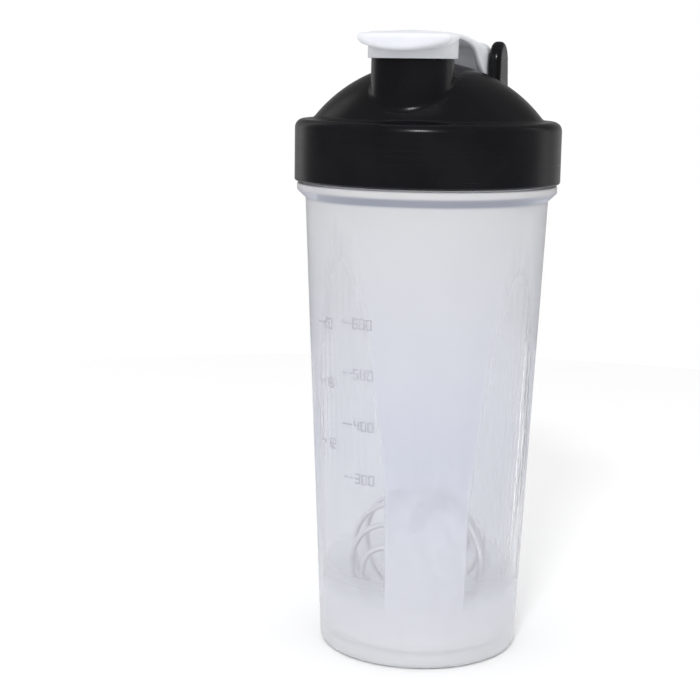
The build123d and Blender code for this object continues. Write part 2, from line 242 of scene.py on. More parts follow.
# ---- How the meshes are drawn ----
SLOPE_STEP = 0.02
GRID_MARGIN_CELLS = 2.3
GRID_EXTRA_CELLS = 3
DRAWING_ROUNDS = 4
LONGEST_MOVE_CELLS = 0.5
LEAST_STEEPNESS = 0.05
TINY = 1e-9
WIDE_ROUNDING = 1.5
WIDE_ARC_STEPS = 6
SMALL_ARC_STEPS = 4


# ---- Distances: each takes arrays of millimetres and is negative inside ----
def round_max(a, b, radius):
    """What lies inside both, with the outer edge between them rounded."""
    both = (a > -radius) & (b > -radius)
    return np.where(both, np.hypot(a + radius, b + radius) - radius, np.maximum(a, b))


def round_min(a, b, radius):
    """What lies inside either, with a fillet in the corner between them."""
    return -round_max(-a, -b, radius)


def smooth_curve(points):
    """A natural cubic spline through points of rising x, as a function of an array."""
    xs, ys = (np.array(column, float) for column in zip(*points))
    gaps, slopes = np.diff(xs), np.diff(ys) / np.diff(xs)
    count = len(xs)
    system, right = np.eye(count), np.zeros(count)
    for i in range(1, count - 1):
        system[i, i - 1:i + 2] = gaps[i - 1], 2 * (gaps[i - 1] + gaps[i]), gaps[i]
        right[i] = 6 * (slopes[i] - slopes[i - 1])
    bends = np.linalg.solve(system, right)

    def curve(x):
        x = np.clip(x, xs[0], xs[-1])
        i = np.clip(np.searchsorted(xs, x) - 1, 0, count - 2)
        t = x - xs[i]
        slope = slopes[i] - gaps[i] * (2 * bends[i] + bends[i + 1]) / 6
        return ys[i] + slope * t + bends[i] / 2 * t**2 + (bends[i + 1] - bends[i]) / (6 * gaps[i]) * t**3

    return curve


def thread_ridge(angle, z, start_z):
    """How far a screw ridge stands off its wall, at an angle in turns and a height."""
    along = z - start_z
    turn = np.round(along / THREAD_LEAD - angle)
    off_centre = np.abs(along - (turn + angle) * THREAD_LEAD)
    flank = (THREAD_ROOT_WIDTH / 2 - off_centre) / (THREAD_ROOT_WIDTH / 2 - THREAD_CREST_WIDTH / 2)
    place = turn + angle
    ends = np.minimum(place, THREAD_TURNS - place) * THREAD_END_STEEPNESS
    return THREAD_HEIGHT * np.clip(np.minimum(flank, ends), 0, 1)


def spout_distance(x, y):
    """Distance from the spout's axis."""
    return np.hypot(x, y - SPOUT_Y)


def ear_outline(y, z):
    """An ear's side outline: a round top on two straight, slightly leaning edges."""
    y, z = y - HINGE_Y, z - HINGE_Z
    round_top = np.hypot(y, z) - EAR_RADIUS
    outline = round_top
    for side, lean in ((-1, math.radians(EAR_FRONT_LEAN)), (1, math.radians(EAR_BACK_LEAN))):
        straight = side * y * math.cos(lean) + z * math.sin(lean) - EAR_RADIUS
        below = (z * math.cos(lean) - side * y * math.sin(lean) < 0) & (side * y > 0)
        outline = np.where(below, straight, outline)
    return outline


def lid_field(x, y, z):
    """The black screw lid."""
    radius = np.hypot(x, y)
    band = round_max(radius - LID_RADIUS, z - LEDGE_Z, BAND_CORNER_RADIUS)
    band = round_max(band, LID_LOW_Z - z, BAND_LOWER_RADIUS)
    from_centre = np.hypot(radius, z - DOME_CENTRE_Z)
    dome = np.maximum(from_centre - DOME_RADIUS, DOME_CUT_Z - z)
    lid = round_min(band, dome, DOME_FOOT_FILLET)
    from_spout = spout_distance(x, y)
    spout = from_spout - SPOUT_FOOT_RADIUS + SPOUT_TAPER * (z - SPOUT_FOOT_Z)
    spout = round_max(np.maximum(spout, SPOUT_FOOT_Z - z), z - SPOUT_TOP_Z, SPOUT_EDGE_RADIUS)
    lid = round_min(lid, spout, SPOUT_FILLET)
    beside_ear = np.abs(np.abs(x) - EAR_INNER_X - EAR_THICKNESS / 2) - EAR_THICKNESS / 2
    ear = round_max(ear_outline(y, z), beside_ear, EAR_EDGE_RADIUS)
    lid = round_min(lid, np.maximum(ear, EAR_FOOT_Z - z), EAR_FOOT_FILLET)
    turns = np.arctan2(y, x) / (2 * math.pi)
    inner = LID_INNER_RADIUS - thread_ridge(turns, z, THREAD_START_Z - THREAD_LEAD / 2)
    under_ceiling = round_max(radius - inner, z - CEILING_Z, CEILING_CORNER_RADIUS)
    under_dome = np.maximum(from_centre - DOME_RADIUS + LID_WALL, radius - FIN_INNER_RADIUS)
    fin_middle = (FIN_INNER_RADIUS + FIN_OUTER_RADIUS) / 2
    fin = np.abs(radius - fin_middle) - (FIN_OUTER_RADIUS - FIN_INNER_RADIUS) / 2
    fin = round_max(fin, FIN_LOW_Z - z, FIN_TIP_RADIUS)
    hollow = np.maximum(np.minimum(under_ceiling, under_dome), -fin)
    lid = np.maximum(lid, -hollow)
    lid = round_max(lid, SPOUT_BORE_RADIUS - from_spout, SPOUT_EDGE_RADIUS)
    socket = np.hypot(y - HINGE_Y, z - HINGE_Z) - SOCKET_RADIUS
    socket = np.maximum(socket, np.abs(x) - EAR_INNER_X - SOCKET_DEPTH)
    return np.maximum(lid, -socket)


arm_top, arm_low, arm_width, arm_shoulder = (
    smooth_curve(points) for points in (ARM_TOP, ARM_LOW, ARM_WIDTH, ARM_SHOULDER))


def cap_arm(x, y, z):
    """The flip cap's arched arm, hollow underneath, with its rounded hinge end and trunnions."""
    from_hinge = np.hypot(y - HINGE_Y, z - HINGE_Z)
    ahead = y - HINGE_Y
    top, width, shoulder = arm_top(y), arm_width(y), arm_shoulder(y)
    over = np.minimum(np.maximum(z - top, ahead), from_hinge - ARM_END_RADIUS)
    under = np.minimum(np.maximum(arm_low(y) - z, ahead), from_hinge - ARM_END_RADIUS)
    arm = round_max(round_max(over, np.abs(x) - width, shoulder), under, ARM_EDGE_RADIUS)
    hollow = np.minimum(np.maximum(z - top + ARM_WALL, ahead), from_hinge - ARM_END_RADIUS + ARM_WALL)
    corner = np.maximum(shoulder - ARM_WALL, ARM_HOLLOW_CORNER_RADIUS)
    hollow = round_max(hollow, np.abs(x) - width + ARM_WALL, corner)
    arm = round_max(arm, -hollow, ARM_HOLLOW_EDGE_RADIUS)
    arm = np.maximum(arm, ARM_START_Y - y)
    reach = arm_width(np.array(HINGE_Y)) + TRUNNION_LENGTH
    pin = round_max(from_hinge - TRUNNION_RADIUS, np.abs(x) - reach, TRUNNION_EDGE_RADIUS)
    return np.minimum(arm, np.maximum(pin, reach - TRUNNION_LENGTH - ARM_WALL - np.abs(x)))


def cap_field(x, y, z):
    """The white flip cap."""
    from_spout = spout_distance(x, y)
    crown = np.hypot(from_spout, z - CAP_TOP_Z + CROWN_RADIUS) - CROWN_RADIUS
    lip_crown = np.hypot(from_spout, z - CAP_TOP_Z + LIP_CROWN_RADIUS) - LIP_CROWN_RADIUS
    around = np.degrees(np.arctan2(np.abs(x), SPOUT_Y - y))
    drop = RIM_DROP * smooth_step((RIM_LEVEL_ANGLE - around) / (RIM_LEVEL_ANGLE - LIP_HALF_ANGLE))
    disc = round_max(from_spout - RIM_RADIUS, crown, CROWN_EDGE_RADIUS)
    below_hem = np.maximum(RIM_LOW_Z - drop - z, SKIRT_INNER_RADIUS - from_spout)
    hem = round_max(disc, below_hem, RIM_EDGE_RADIUS)
    disc = np.minimum(round_max(disc, RIM_LOW_Z - z, UNDERSIDE_EDGE_RADIUS), hem)
    wedge = math.radians(LIP_HALF_ANGLE)
    ahead = SPOUT_Y - y
    lip = np.abs(x) * math.cos(wedge) - ahead * math.sin(wedge)
    lip = round_max(from_spout - LIP_RADIUS, lip, LIP_CORNER_RADIUS)
    lip = round_max(lip, lip_crown, LIP_TOP_EDGE_RADIUS)
    lip = round_max(lip, LIP_LOW_Z + LIP_RISE * x**2 - z, LIP_EDGE_RADIUS)
    lip = np.maximum(lip, (SKIRT_RADIUS + SKIRT_INNER_RADIUS) / 2 - from_spout)
    cap = round_min(disc, lip, LIP_FILLET)
    wall = (SKIRT_RADIUS - SKIRT_INNER_RADIUS) / 2
    skirt = np.abs(from_spout - SKIRT_INNER_RADIUS - wall) - wall
    root = z - RIM_LOW_Z - WALL_ROOT_DEPTH
    skirt = round_max(np.maximum(skirt, root), SKIRT_LOW_Z - z, SKIRT_EDGE_RADIUS)
    plug_height = (z - PLUG_LOW_Z) / (RIM_LOW_Z - PLUG_LOW_Z)
    plug_radius = PLUG_TIP_RADIUS + (PLUG_RADIUS - PLUG_TIP_RADIUS) * plug_height
    plug = np.maximum(from_spout - plug_radius, plug_radius - PLUG_WALL - from_spout)
    plug = round_max(np.maximum(plug, root), PLUG_LOW_Z - z, PLUG_EDGE_RADIUS)
    cap = round_min(cap, np.minimum(skirt, plug), WALL_ROOT_FILLET)
    return round_min(cap, cap_arm(x, y, z), ARM_FILLET)


# ---- Meshes ----
def new_piece(name, points_mm, faces, normals=None):
    """A smooth-shaded object from points in millimetres, with its own normals where they are given."""
    mesh = bpy.data.meshes.new(name)
    mesh.from_pydata((points_mm * MM).tolist(), [], faces)
    mesh.polygons.foreach_set("use_smooth", [True] * len(mesh.polygons))
    if normals is not None:
        mesh.normals_split_custom_set_from_vertices(normals.tolist())
    piece = bpy.data.objects.new(name, mesh)
    bpy.context.scene.collection.objects.link(piece)
    return piece


def slope(field, points):
    """The gradient of a field at points, by central differences."""
    gradient = np.empty_like(points)
    for axis in range(3):
        shift = np.zeros(3)
        shift[axis] = SLOPE_STEP
        gradient[:, axis] = (field(*(points + shift).T) - field(*(points - shift).T)) / (2 * SLOPE_STEP)
    return gradient


def surface_piece(name, field, low, high, cell):
    """The surface where a field is zero: one point in each grid cell it crosses, drawn onto the surface."""
    low = np.array(low) / MM - GRID_MARGIN_CELLS * cell
    counts = np.ceil((np.array(high) / MM - low) / cell).astype(int) + GRID_EXTRA_CELLS
    grid = np.meshgrid(*(low[axis] + cell * np.arange(counts[axis]) for axis in range(3)), indexing="ij")
    values = field(*grid)
    crossings, rings = [], []
    for axis in range(3):
        here = np.delete(values, -1, axis)
        there = np.delete(values, 0, axis)
        crossed = (here < 0) != (there < 0)
        edge = np.argwhere(crossed)
        here, there = here[crossed], there[crossed]
        crossing = edge.astype(float)
        crossing[:, axis] += here / (here - there)
        ring = np.repeat(edge[:, None, :], 4, axis=1)
        for corner, (back_u, back_v) in enumerate(((0, 0), (1, 0), (1, 1), (0, 1))):
            ring[:, corner, (axis + 1) % 3] -= back_u
            ring[:, corner, (axis + 2) % 3] -= back_v
        ring[here >= 0] = ring[here >= 0][:, ::-1]
        crossings.append(crossing)
        rings.append(ring)
    crossings = np.repeat(np.concatenate(crossings), 4, axis=0)
    cells = np.concatenate(rings).reshape(-1, 3)
    _, index = np.unique(np.ravel_multi_index(cells.T, counts), return_inverse=True)
    hits = np.bincount(index)
    points = np.stack([np.bincount(index, weights=crossings[:, axis]) / hits for axis in range(3)], axis=1)
    points = low + cell * points
    for _ in range(DRAWING_ROUNDS):
        gradient = slope(field, points)
        steepness = np.maximum((gradient**2).sum(1), LEAST_STEEPNESS)
        move = (field(*points.T) / steepness)[:, None] * gradient
        length = np.linalg.norm(move, axis=1, keepdims=True)
        points -= move * np.minimum(1, LONGEST_MOVE_CELLS * cell / np.maximum(length, TINY))
    gradient = slope(field, points)
    normals = gradient / np.maximum(np.linalg.norm(gradient, axis=1, keepdims=True), TINY)
    return new_piece(name, points, index.reshape(-1, 4).tolist(), normals)


def rounded_outline(corners):
    """Points along a polyline of (radius, height, corner rounding, spacing to the next corner)."""
    places = [np.array(corner[:2], float) for corner in corners]
    starts, ends, arcs = [places[0]], [], []
    for i in range(1, len(corners) - 1):
        back, ahead = places[i - 1] - places[i], places[i + 1] - places[i]
        back, ahead = back / np.linalg.norm(back), ahead / np.linalg.norm(ahead)
        half = math.acos(np.clip(back @ ahead, -1, 1)) / 2
        rounding = corners[i][2]
        reach = rounding / math.tan(half)
        centre = places[i] + (back + ahead) / np.linalg.norm(back + ahead) * rounding / math.sin(half)
        first, last = places[i] + back * reach, places[i] + ahead * reach
        ends.append(first)
        starts.append(last)
        steps = WIDE_ARC_STEPS if rounding > WIDE_ROUNDING else SMALL_ARC_STEPS
        arc = []
        for share in np.linspace(0, 1, steps + 1)[1:-1]:
            toward = first + (last - first) * share - centre
            arc.append(centre + toward / np.linalg.norm(toward) * rounding)
        arcs.append(arc)
    ends.append(places[-1])
    outline = []
    for i, (start, end) in enumerate(zip(starts, ends)):
        pieces = max(1, round(np.linalg.norm(end - start) / corners[i][3]))
        outline += [start + (end - start) * step / pieces for step in range(pieces + 1)]
        outline += arcs[i] if i < len(arcs) else []
    return np.array(outline)


# ---- Cup ----
def body_radius(z):
    """Outer radius of the cup's tapered body."""
    return BASE_RADIUS + (BODY_TOP_RADIUS - BASE_RADIUS) * z / BODY_TOP_Z


def smooth_step(value):
    """Rises smoothly from 0 to 1 as the value does."""
    value = np.clip(value, 0, 1)
    return value * value * (3 - 2 * value)


def window_pattern(azimuth, z):
    """How clear the wall is, from 0 to 1, and how far the flutes press into it."""
    clear, pressed = np.zeros_like(z), np.zeros_like(z)
    for side, top_z, flute_low_z, sill_height in zip((-1, 1), WINDOW_TOPS_Z, FLUTE_LOWS_Z, SILL_HEIGHTS):
        off = (azimuth - CUP_FRONT_AZIMUTH - side * WINDOW_OFFSET_ANGLE + 180) % 360 - 180
        across = np.minimum(np.abs(off) / WINDOW_HALF_ANGLE, ARCH_REACH)
        arch = top_z - ARCH_HEIGHT * across**WINDOW_ARCH_POWER
        beside = (1 - across) * math.radians(WINDOW_HALF_ANGLE) * BASE_RADIUS
        ends = np.minimum((arch - z) / ARCH_EDGE_WIDTH, (z - WINDOW_LOW_Z) / WINDOW_LOW_FADE)
        clear = np.maximum(clear, smooth_step(np.minimum(ends, beside / CLEAR_EDGE_WIDTH)))
        sill = flute_low_z + sill_height * across**WINDOW_ARCH_POWER
        beside_flutes = np.radians(FLUTE_HALF_ANGLE - np.abs(off)) * BASE_RADIUS
        ends = np.minimum(arch - z, z - sill) / FLUTE_END_LENGTH
        fluted = smooth_step(np.minimum(ends, beside_flutes / FLUTE_EDGE_WIDTH))
        wave = 0.5 + 0.5 * np.cos(2 * math.pi * off / FLUTE_PITCH_ANGLE)
        pressed = np.maximum(pressed, fluted * FLUTE_DEPTH * wave)
    return clear, pressed


def fill_height(volume):
    """The height up to which a volume in millilitres fills the cup."""
    heights = np.linspace(FLOOR_TOP_Z, BODY_TOP_Z, FILL_STEPS)
    areas = math.pi * (body_radius(heights) - CUP_WALL) ** 2
    filled = np.cumsum(areas) * (heights[1] - heights[0]) / CUBIC_MM_PER_ML
    return float(np.interp(volume, filled, heights))


def mark_strokes():
    """The start and end of each graduation stroke, as an angle in radians and a height."""
    strokes = []
    for angle, unit, values in SCALES:
        for value in values:
            height = fill_height(value * unit)
            per_mm = 1 / body_radius(height)
            left = math.radians(angle)
            strokes.append(((left, height), (left + TICK_LENGTH * per_mm, height)))
            left += (TICK_LENGTH + DIGIT_GAP) * per_mm
            low = height - DIGIT_HEIGHT / 2
            for digit in str(value):
                for stroke in DIGIT_STROKES[digit]:
                    start, end = ((left + x * DIGIT_WIDTH * per_mm, low + z * DIGIT_HEIGHT)
                                  for x, z in STROKE_ENDS[stroke])
                    strokes.append((start, end))
                left += (DIGIT_WIDTH + DIGIT_GAP) * per_mm
    return strokes


def raised_stroke(start, end):
    """Points and faces of one thin closed bar standing off the cup between two places."""
    start, end = np.array(start), np.array(end)
    scale = body_radius(start[1])
    along = (end - start) * (scale, 1)
    across = np.array((-along[1], along[0])) / np.linalg.norm(along) * STROKE_WIDTH / 2 / (scale, 1)
    points, faces = [], []
    for share in np.linspace(0, 1, STROKE_STEPS + 1):
        middle = start + (end - start) * share
        for side, stand_off in ((-1, -STROKE_SINK), (-1, STROKE_RAISE), (1, STROKE_RAISE), (1, -STROKE_SINK)):
            angle, z = middle + side * across
            radius = body_radius(z) + stand_off
            points.append((radius * math.sin(angle), -radius * math.cos(angle), z))
    for ring in range(0, 4 * STROKE_STEPS, 4):
        for corner in range(4):
            beside = (corner + 1) % 4
            faces.append([ring + corner, ring + 4 + corner, ring + 4 + beside, ring + beside])
    last = 4 * STROKE_STEPS
    faces.append([0, 1, 2, 3])
    faces.append([last + 3, last + 2, last + 1, last])
    return points, faces


def make_cup():
    """The cup: a lathe grid with the window flutes pressed in, and the thread and the graduations raised."""
    inner_top, inner_low = BODY_TOP_RADIUS - CUP_WALL, body_radius(FLOOR_TOP_Z) - CUP_WALL
    outline = rounded_outline((
        (0.0, FLOOR_UNDER_Z, 0.0, FLOOR_ROW),
        (FOOT_INNER_RADIUS, FLOOR_UNDER_Z, FOOT_ROUNDING, EDGE_ROW),
        (FOOT_OUTER_RADIUS, 0.0, FOOT_ROUNDING, EDGE_ROW),
        (BASE_RADIUS, 0.0, BASE_ROUNDING, BODY_ROW),
        (BODY_TOP_RADIUS, BODY_TOP_Z, COLLAR_FOOT_ROUNDING, EDGE_ROW),
        (COLLAR_RADIUS, COLLAR_LOW_Z, COLLAR_LOW_ROUNDING, EDGE_ROW),
        (COLLAR_RADIUS, COLLAR_TOP_Z, COLLAR_TOP_ROUNDING, EDGE_ROW),
        (NECK_RADIUS, COLLAR_TOP_Z, NECK_FOOT_ROUNDING, NECK_ROW),
        (NECK_RADIUS, RIM_Z, RIM_ROUNDING, EDGE_ROW),
        (NECK_INNER_RADIUS, RIM_Z, RIM_ROUNDING, INNER_NECK_ROW),
        (inner_top, BODY_TOP_Z, INNER_SHOULDER_ROUNDING, INNER_BODY_ROW),
        (inner_low, FLOOR_TOP_Z, INNER_BASE_ROUNDING, FLOOR_ROW),
        (0.0, FLOOR_TOP_Z, 0.0, FLOOR_ROW),
    ))
    radius, z = outline[1:-1].T
    azimuth = CUP_FRONT_AZIMUTH + 360 * np.arange(CUP_COLUMNS) / CUP_COLUMNS
    radius, azimuth = np.meshgrid(radius, azimuth, indexing="ij")
    z = np.repeat(z[:, None], CUP_COLUMNS, axis=1)
    clear, pressed = window_pattern(azimuth, z)
    outside = radius > body_radius(z) - CUP_WALL / 2
    on_body = outside & (z < BODY_TOP_Z)
    on_neck = outside & (z > COLLAR_TOP_Z)
    turn = np.radians(azimuth - 90)
    ridge = thread_ridge(((turn / (2 * math.pi)) + 0.5) % 1 - 0.5, z, THREAD_START_Z)
    radius = radius - np.where(on_body, pressed, 0) + np.where(on_neck, ridge, 0)
    grid = np.stack([radius * np.cos(turn), radius * np.sin(turn), z], axis=2).reshape(-1, 3)
    rows = len(outline) - 2
    points = np.concatenate([grid, [[0, 0, FLOOR_UNDER_Z], [0, 0, FLOOR_TOP_Z]]])
    column = np.arange(CUP_COLUMNS)
    beside = (column + 1) % CUP_COLUMNS
    faces = []
    for row in range(rows - 1):
        low, high = row * CUP_COLUMNS, (row + 1) * CUP_COLUMNS
        faces += np.stack([low + column, low + beside, high + beside, high + column], axis=1).tolist()
    last = (rows - 1) * CUP_COLUMNS
    under, over = len(points) - 2, len(points) - 1
    faces += np.stack([beside, column, np.full(CUP_COLUMNS, under)], axis=1).tolist()
    faces += np.stack([last + column, last + beside, np.full(CUP_COLUMNS, over)], axis=1).tolist()
    plain = len(points)
    for start, end in mark_strokes():
        bar_points, bar_faces = raised_stroke(start, end)
        faces += [[len(points) + corner for corner in face] for face in bar_faces]
        points = np.concatenate([points, bar_points])
    piece = new_piece("shaker_cup", points, faces)
    shade = np.full((len(points), 4), STROKE_CLEARNESS)
    shade[plain - 2:plain] = 0
    inside_clear = smooth_step((z - WINDOW_LOW_Z) / WINDOW_LOW_FADE)
    shade[:plain - 2, :3] = np.where(outside, np.where(on_body, clear, 0), inside_clear).reshape(-1, 1)
    shade[:, 3] = 1
    attribute = piece.data.color_attributes.new("clearness", "FLOAT_COLOR", "POINT")
    attribute.data.foreach_set("color", shade.ravel())
    return piece


# ---- Materials: lengths in metres, noise in features per metre ----
NOISE_LOW, NOISE_HIGH = 0.3, 0.7
NOISE_DETAIL = 3.0
GRAIN_DETAIL = 2.0
BROAD_SCALE = 60.0
STREAK_SCALE = 25.0
STREAK_STRETCH = (1.0, 1.0, 40.0)
FINISHES = {
    "black": {
        "colours": ((0.005, 0.005, 0.006), (0.008, 0.008, 0.010)),
        "roughness": (0.21, 0.28), "grain": 2600.0, "depth": 0.00002,
    },
    "white": {
        "colours": ((0.70, 0.715, 0.76), (0.73, 0.745, 0.785)),
        "roughness": (0.46, 0.54), "grain": 1800.0, "depth": 0.00001,
    },
    "silicone": {
        "colours": ((0.70, 0.72, 0.74), (0.80, 0.81, 0.82)),
        "roughness": (0.40, 0.50), "grain": 2000.0, "depth": 0.00002,
    },
    "steel": {
        "colours": ((0.70, 0.71, 0.73), (0.82, 0.82, 0.83)),
        "roughness": (0.14, 0.26), "grain": 5000.0, "depth": 0.00001,
    },
}
# The cup's colour by height in millimetres: lighter towards the base, darker and bluer through the middle,
# with a band of painted shade under the collar.
CUP_COLOURS_WITH_PAINTED_SHADE = (
    (0.0, (0.89, 0.90, 0.93)),
    (30.0, (0.87, 0.88, 0.945)),
    (80.0, (0.70, 0.72, 0.81)),
    (150.0, (0.785, 0.79, 0.83)),
    (172.2, (0.80, 0.80, 0.82)),
    # Painted shade: the darker blue-grey band from 172.9 to 175.2 mm stands for the shade on the collar's
    # downward face below the lid.
    (172.9, (0.51, 0.55, 0.66)),
    (175.2, (0.53, 0.56, 0.66)),
    (176.4, (0.84, 0.83, 0.84)),
    (198.0, (0.84, 0.84, 0.86)),
)
CLEAR_COLOUR = (0.965, 0.975, 1.0, 1.0)
CLEAR_COLOUR_SHARE = 0.9
MOTTLE_SCALE = 40.0
MOTTLE_SHARE = 0.06
FROSTED_ROUGHNESS, CLEAR_ROUGHNESS = 0.26, 0.03
FROSTED_TRANSMISSION, CLEAR_TRANSMISSION = 0.52, 0.78
BASE_TRANSMISSION_SHARE = 0.85
BASE_LOW_SHARE, BASE_HIGH_SHARE = 0.03, 0.14
FROST_GRAIN = 3000.0
FROST_DEPTH = 0.00002
FROST_STRENGTH = 0.5
CUP_IOR = 1.25
CUP_SPECULAR = 0.25
BLACK_SPECULAR = 0.25
WHITE_SPECULAR = 0.2
WHITE_SCATTER_SHARE = 0.9
WHITE_SCATTER_RADIUS = (1.0, 0.97, 0.92)
WHITE_SCATTER_DEPTH = 0.004
SILICONE_SCATTER_SHARE = 0.5
SILICONE_SCATTER_DEPTH = 0.002


def start_material(name):
    """A new material, its node tree and its shader."""
    material = bpy.data.materials.new(name)
    material.use_nodes = True
    return material, material.node_tree, material.node_tree.nodes["Principled BSDF"]


def add_node(tree, kind, inputs=None, **settings):
    """A shader node with settings, its inputs given as values or as sockets to link from."""
    node = tree.nodes.new("ShaderNode" + kind)
    for key, value in settings.items():
        setattr(node, key, value)
    for key, value in (inputs or {}).items():
        if isinstance(value, bpy.types.NodeSocket):
            tree.links.new(value, node.inputs[key])
        else:
            node.inputs[key].default_value = value
    return node


def noise(tree, scale, stretch=(1, 1, 1), detail=NOISE_DETAIL):
    """Noise over the object's own coordinates, in features per metre."""
    place = add_node(tree, "TexCoord").outputs["Object"]
    place = add_node(tree, "Mapping", {"Vector": place, "Scale": stretch}).outputs["Vector"]
    return add_node(tree, "TexNoise", {"Vector": place, "Scale": scale, "Detail": detail}).outputs["Fac"]


def spread(tree, factor, low, high):
    """A factor's middle range spread between two values."""
    ends = {"From Min": NOISE_LOW, "From Max": NOISE_HIGH, "To Min": low, "To Max": high}
    return add_node(tree, "MapRange", {"Value": factor, **ends}).outputs["Result"]


def tint(tree, factor, first, second):
    """A colour between two, by a factor."""
    node = add_node(tree, "ValToRGB", {"Fac": factor})
    node.color_ramp.elements[0].color = (*first, 1)
    node.color_ramp.elements[1].color = (*second, 1)
    return node.outputs["Color"]


def moulded_finish(tree, shader, colours, roughness, grain, depth):
    """Slight colour and gloss variation, and a fine grain as bump."""
    broad = spread(tree, noise(tree, BROAD_SCALE), 0.0, 1.0)
    streaks = noise(tree, STREAK_SCALE, STREAK_STRETCH)
    tree.links.new(tint(tree, broad, *colours), shader.inputs["Base Color"])
    tree.links.new(spread(tree, streaks, *roughness), shader.inputs["Roughness"])
    height = noise(tree, grain, detail=GRAIN_DETAIL)
    bump = add_node(tree, "Bump", {"Height": height, "Distance": depth, "Strength": 1.0})
    tree.links.new(bump.outputs["Normal"], shader.inputs["Normal"])


def black_plastic():
    """Satin black polypropylene."""
    material, tree, shader = start_material("black_plastic")
    moulded_finish(tree, shader, **FINISHES["black"])
    shader.inputs["Specular IOR Level"].default_value = BLACK_SPECULAR
    return material


def white_plastic():
    """White polypropylene that lets some light through its thin walls."""
    material, tree, shader = start_material("white_plastic")
    moulded_finish(tree, shader, **FINISHES["white"])
    shader.inputs["Specular IOR Level"].default_value = WHITE_SPECULAR
    shader.inputs["Subsurface Weight"].default_value = WHITE_SCATTER_SHARE
    shader.inputs["Subsurface Radius"].default_value = WHITE_SCATTER_RADIUS
    shader.inputs["Subsurface Scale"].default_value = WHITE_SCATTER_DEPTH
    return material


def between(tree, factor, low, high):
    """A number that goes from one value to another as a factor goes from 0 to 1."""
    return add_node(tree, "MapRange", {"Value": factor, "To Min": low, "To Max": high}).outputs["Result"]


def cup_colour(tree, height, clear):
    """The cup's colour by height, with painted shade as a darker blue-grey band under the collar, paler in
    the clear windows and slightly mottled.
    """
    colour = add_node(tree, "ValToRGB", {"Fac": height})
    ramp = colour.color_ramp
    ramp.elements[0].color, ramp.elements[1].color = (*CUP_COLOURS_WITH_PAINTED_SHADE[0][1], 1), (*CUP_COLOURS_WITH_PAINTED_SHADE[-1][1], 1)
    for z, shade in CUP_COLOURS_WITH_PAINTED_SHADE[1:-1]:
        ramp.elements.new(z / RIM_Z).color = (*shade, 1)
    mottle = spread(tree, noise(tree, MOTTLE_SCALE), 0.0, MOTTLE_SHARE)
    share = add_node(tree, "Math", {0: clear, 1: CLEAR_COLOUR_SHARE, 2: mottle}, operation="MULTIPLY_ADD")
    inputs = {0: share.outputs[0], 6: colour.outputs["Color"], 7: CLEAR_COLOUR}
    return add_node(tree, "Mix", inputs, data_type="RGBA").outputs[2]


def cup_transmission(tree, height, clear):
    """How much light passes: more through the windows, less through the thick base."""
    base = add_node(tree, "ValToRGB", {"Fac": height})
    low, high = base.color_ramp.elements
    low.color = (BASE_TRANSMISSION_SHARE, BASE_TRANSMISSION_SHARE, BASE_TRANSMISSION_SHARE, 1)
    low.position = BASE_LOW_SHARE
    high.color = (1, 1, 1, 1)
    high.position = BASE_HIGH_SHARE
    sheer = between(tree, clear, FROSTED_TRANSMISSION, CLEAR_TRANSMISSION)
    return add_node(tree, "Math", {0: sheer, 1: base.outputs["Color"]}, operation="MULTIPLY").outputs[0]


def frosted_plastic():
    """Milky translucent polypropylene: clear and smooth in the windows, frosted elsewhere."""
    material, tree, shader = start_material("frosted_plastic")
    clear = add_node(tree, "Attribute", attribute_name="clearness").outputs["Fac"]
    tree.links.new(between(tree, clear, FROSTED_ROUGHNESS, CLEAR_ROUGHNESS), shader.inputs["Roughness"])
    place = add_node(tree, "TexCoord").outputs["Object"]
    height = add_node(tree, "SeparateXYZ", {"Vector": place}).outputs["Z"]
    height = add_node(tree, "MapRange", {"Value": height, "From Max": RIM_Z * MM}).outputs["Result"]
    tree.links.new(cup_colour(tree, height, clear), shader.inputs["Base Color"])
    tree.links.new(cup_transmission(tree, height, clear), shader.inputs["Transmission Weight"])
    shader.inputs["IOR"].default_value = CUP_IOR
    shader.inputs["Specular IOR Level"].default_value = CUP_SPECULAR
    frost = noise(tree, FROST_GRAIN, detail=GRAIN_DETAIL)
    bump = add_node(tree, "Bump", {"Height": frost, "Distance": FROST_DEPTH, "Strength": FROST_STRENGTH})
    tree.links.new(bump.outputs["Normal"], shader.inputs["Normal"])
    return material


def clear_silicone():
    """Soft translucent seal material."""
    material, tree, shader = start_material("clear_silicone")
    moulded_finish(tree, shader, **FINISHES["silicone"])
    shader.inputs["Subsurface Weight"].default_value = SILICONE_SCATTER_SHARE
    shader.inputs["Subsurface Scale"].default_value = SILICONE_SCATTER_DEPTH
    return material


def steel_wire():
    """Polished stainless wire with faint drawing marks."""
    material, tree, shader = start_material("steel_wire")
    moulded_finish(tree, shader, **FINISHES["steel"])
    shader.inputs["Metallic"].default_value = 1.0
    return material


def paint(piece, material):
    """Gives a piece one material."""
    piece.data.materials.clear()
    piece.data.materials.append(material)


# ---- The bottle's pieces ----
PIECES = (
    ("cup", "cup_body", "frosted_plastic", make_cup(), frosted_plastic()),
    ("screw_lid", "lid_body", "black_plastic",
     surface_piece("black_screw_lid", lid_field, *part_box("screw_lid"), LID_CELL), black_plastic()),
    ("flip_cap", "flip_cap_body", "white_plastic",
     surface_piece("white_flip_cap", cap_field, *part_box("flip_cap"), CAP_CELL), white_plastic()),
)
for node, body, slot, piece, material in PIECES:
    paint(piece, material)
    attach(piece, body)
    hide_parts(node)
for node, material in (("lid_seal_ring", clear_silicone()), ("whisk_ball", steel_wire())):
    for material_slot in frame["nodes"][node].material_slots:
        material_slot.material = material


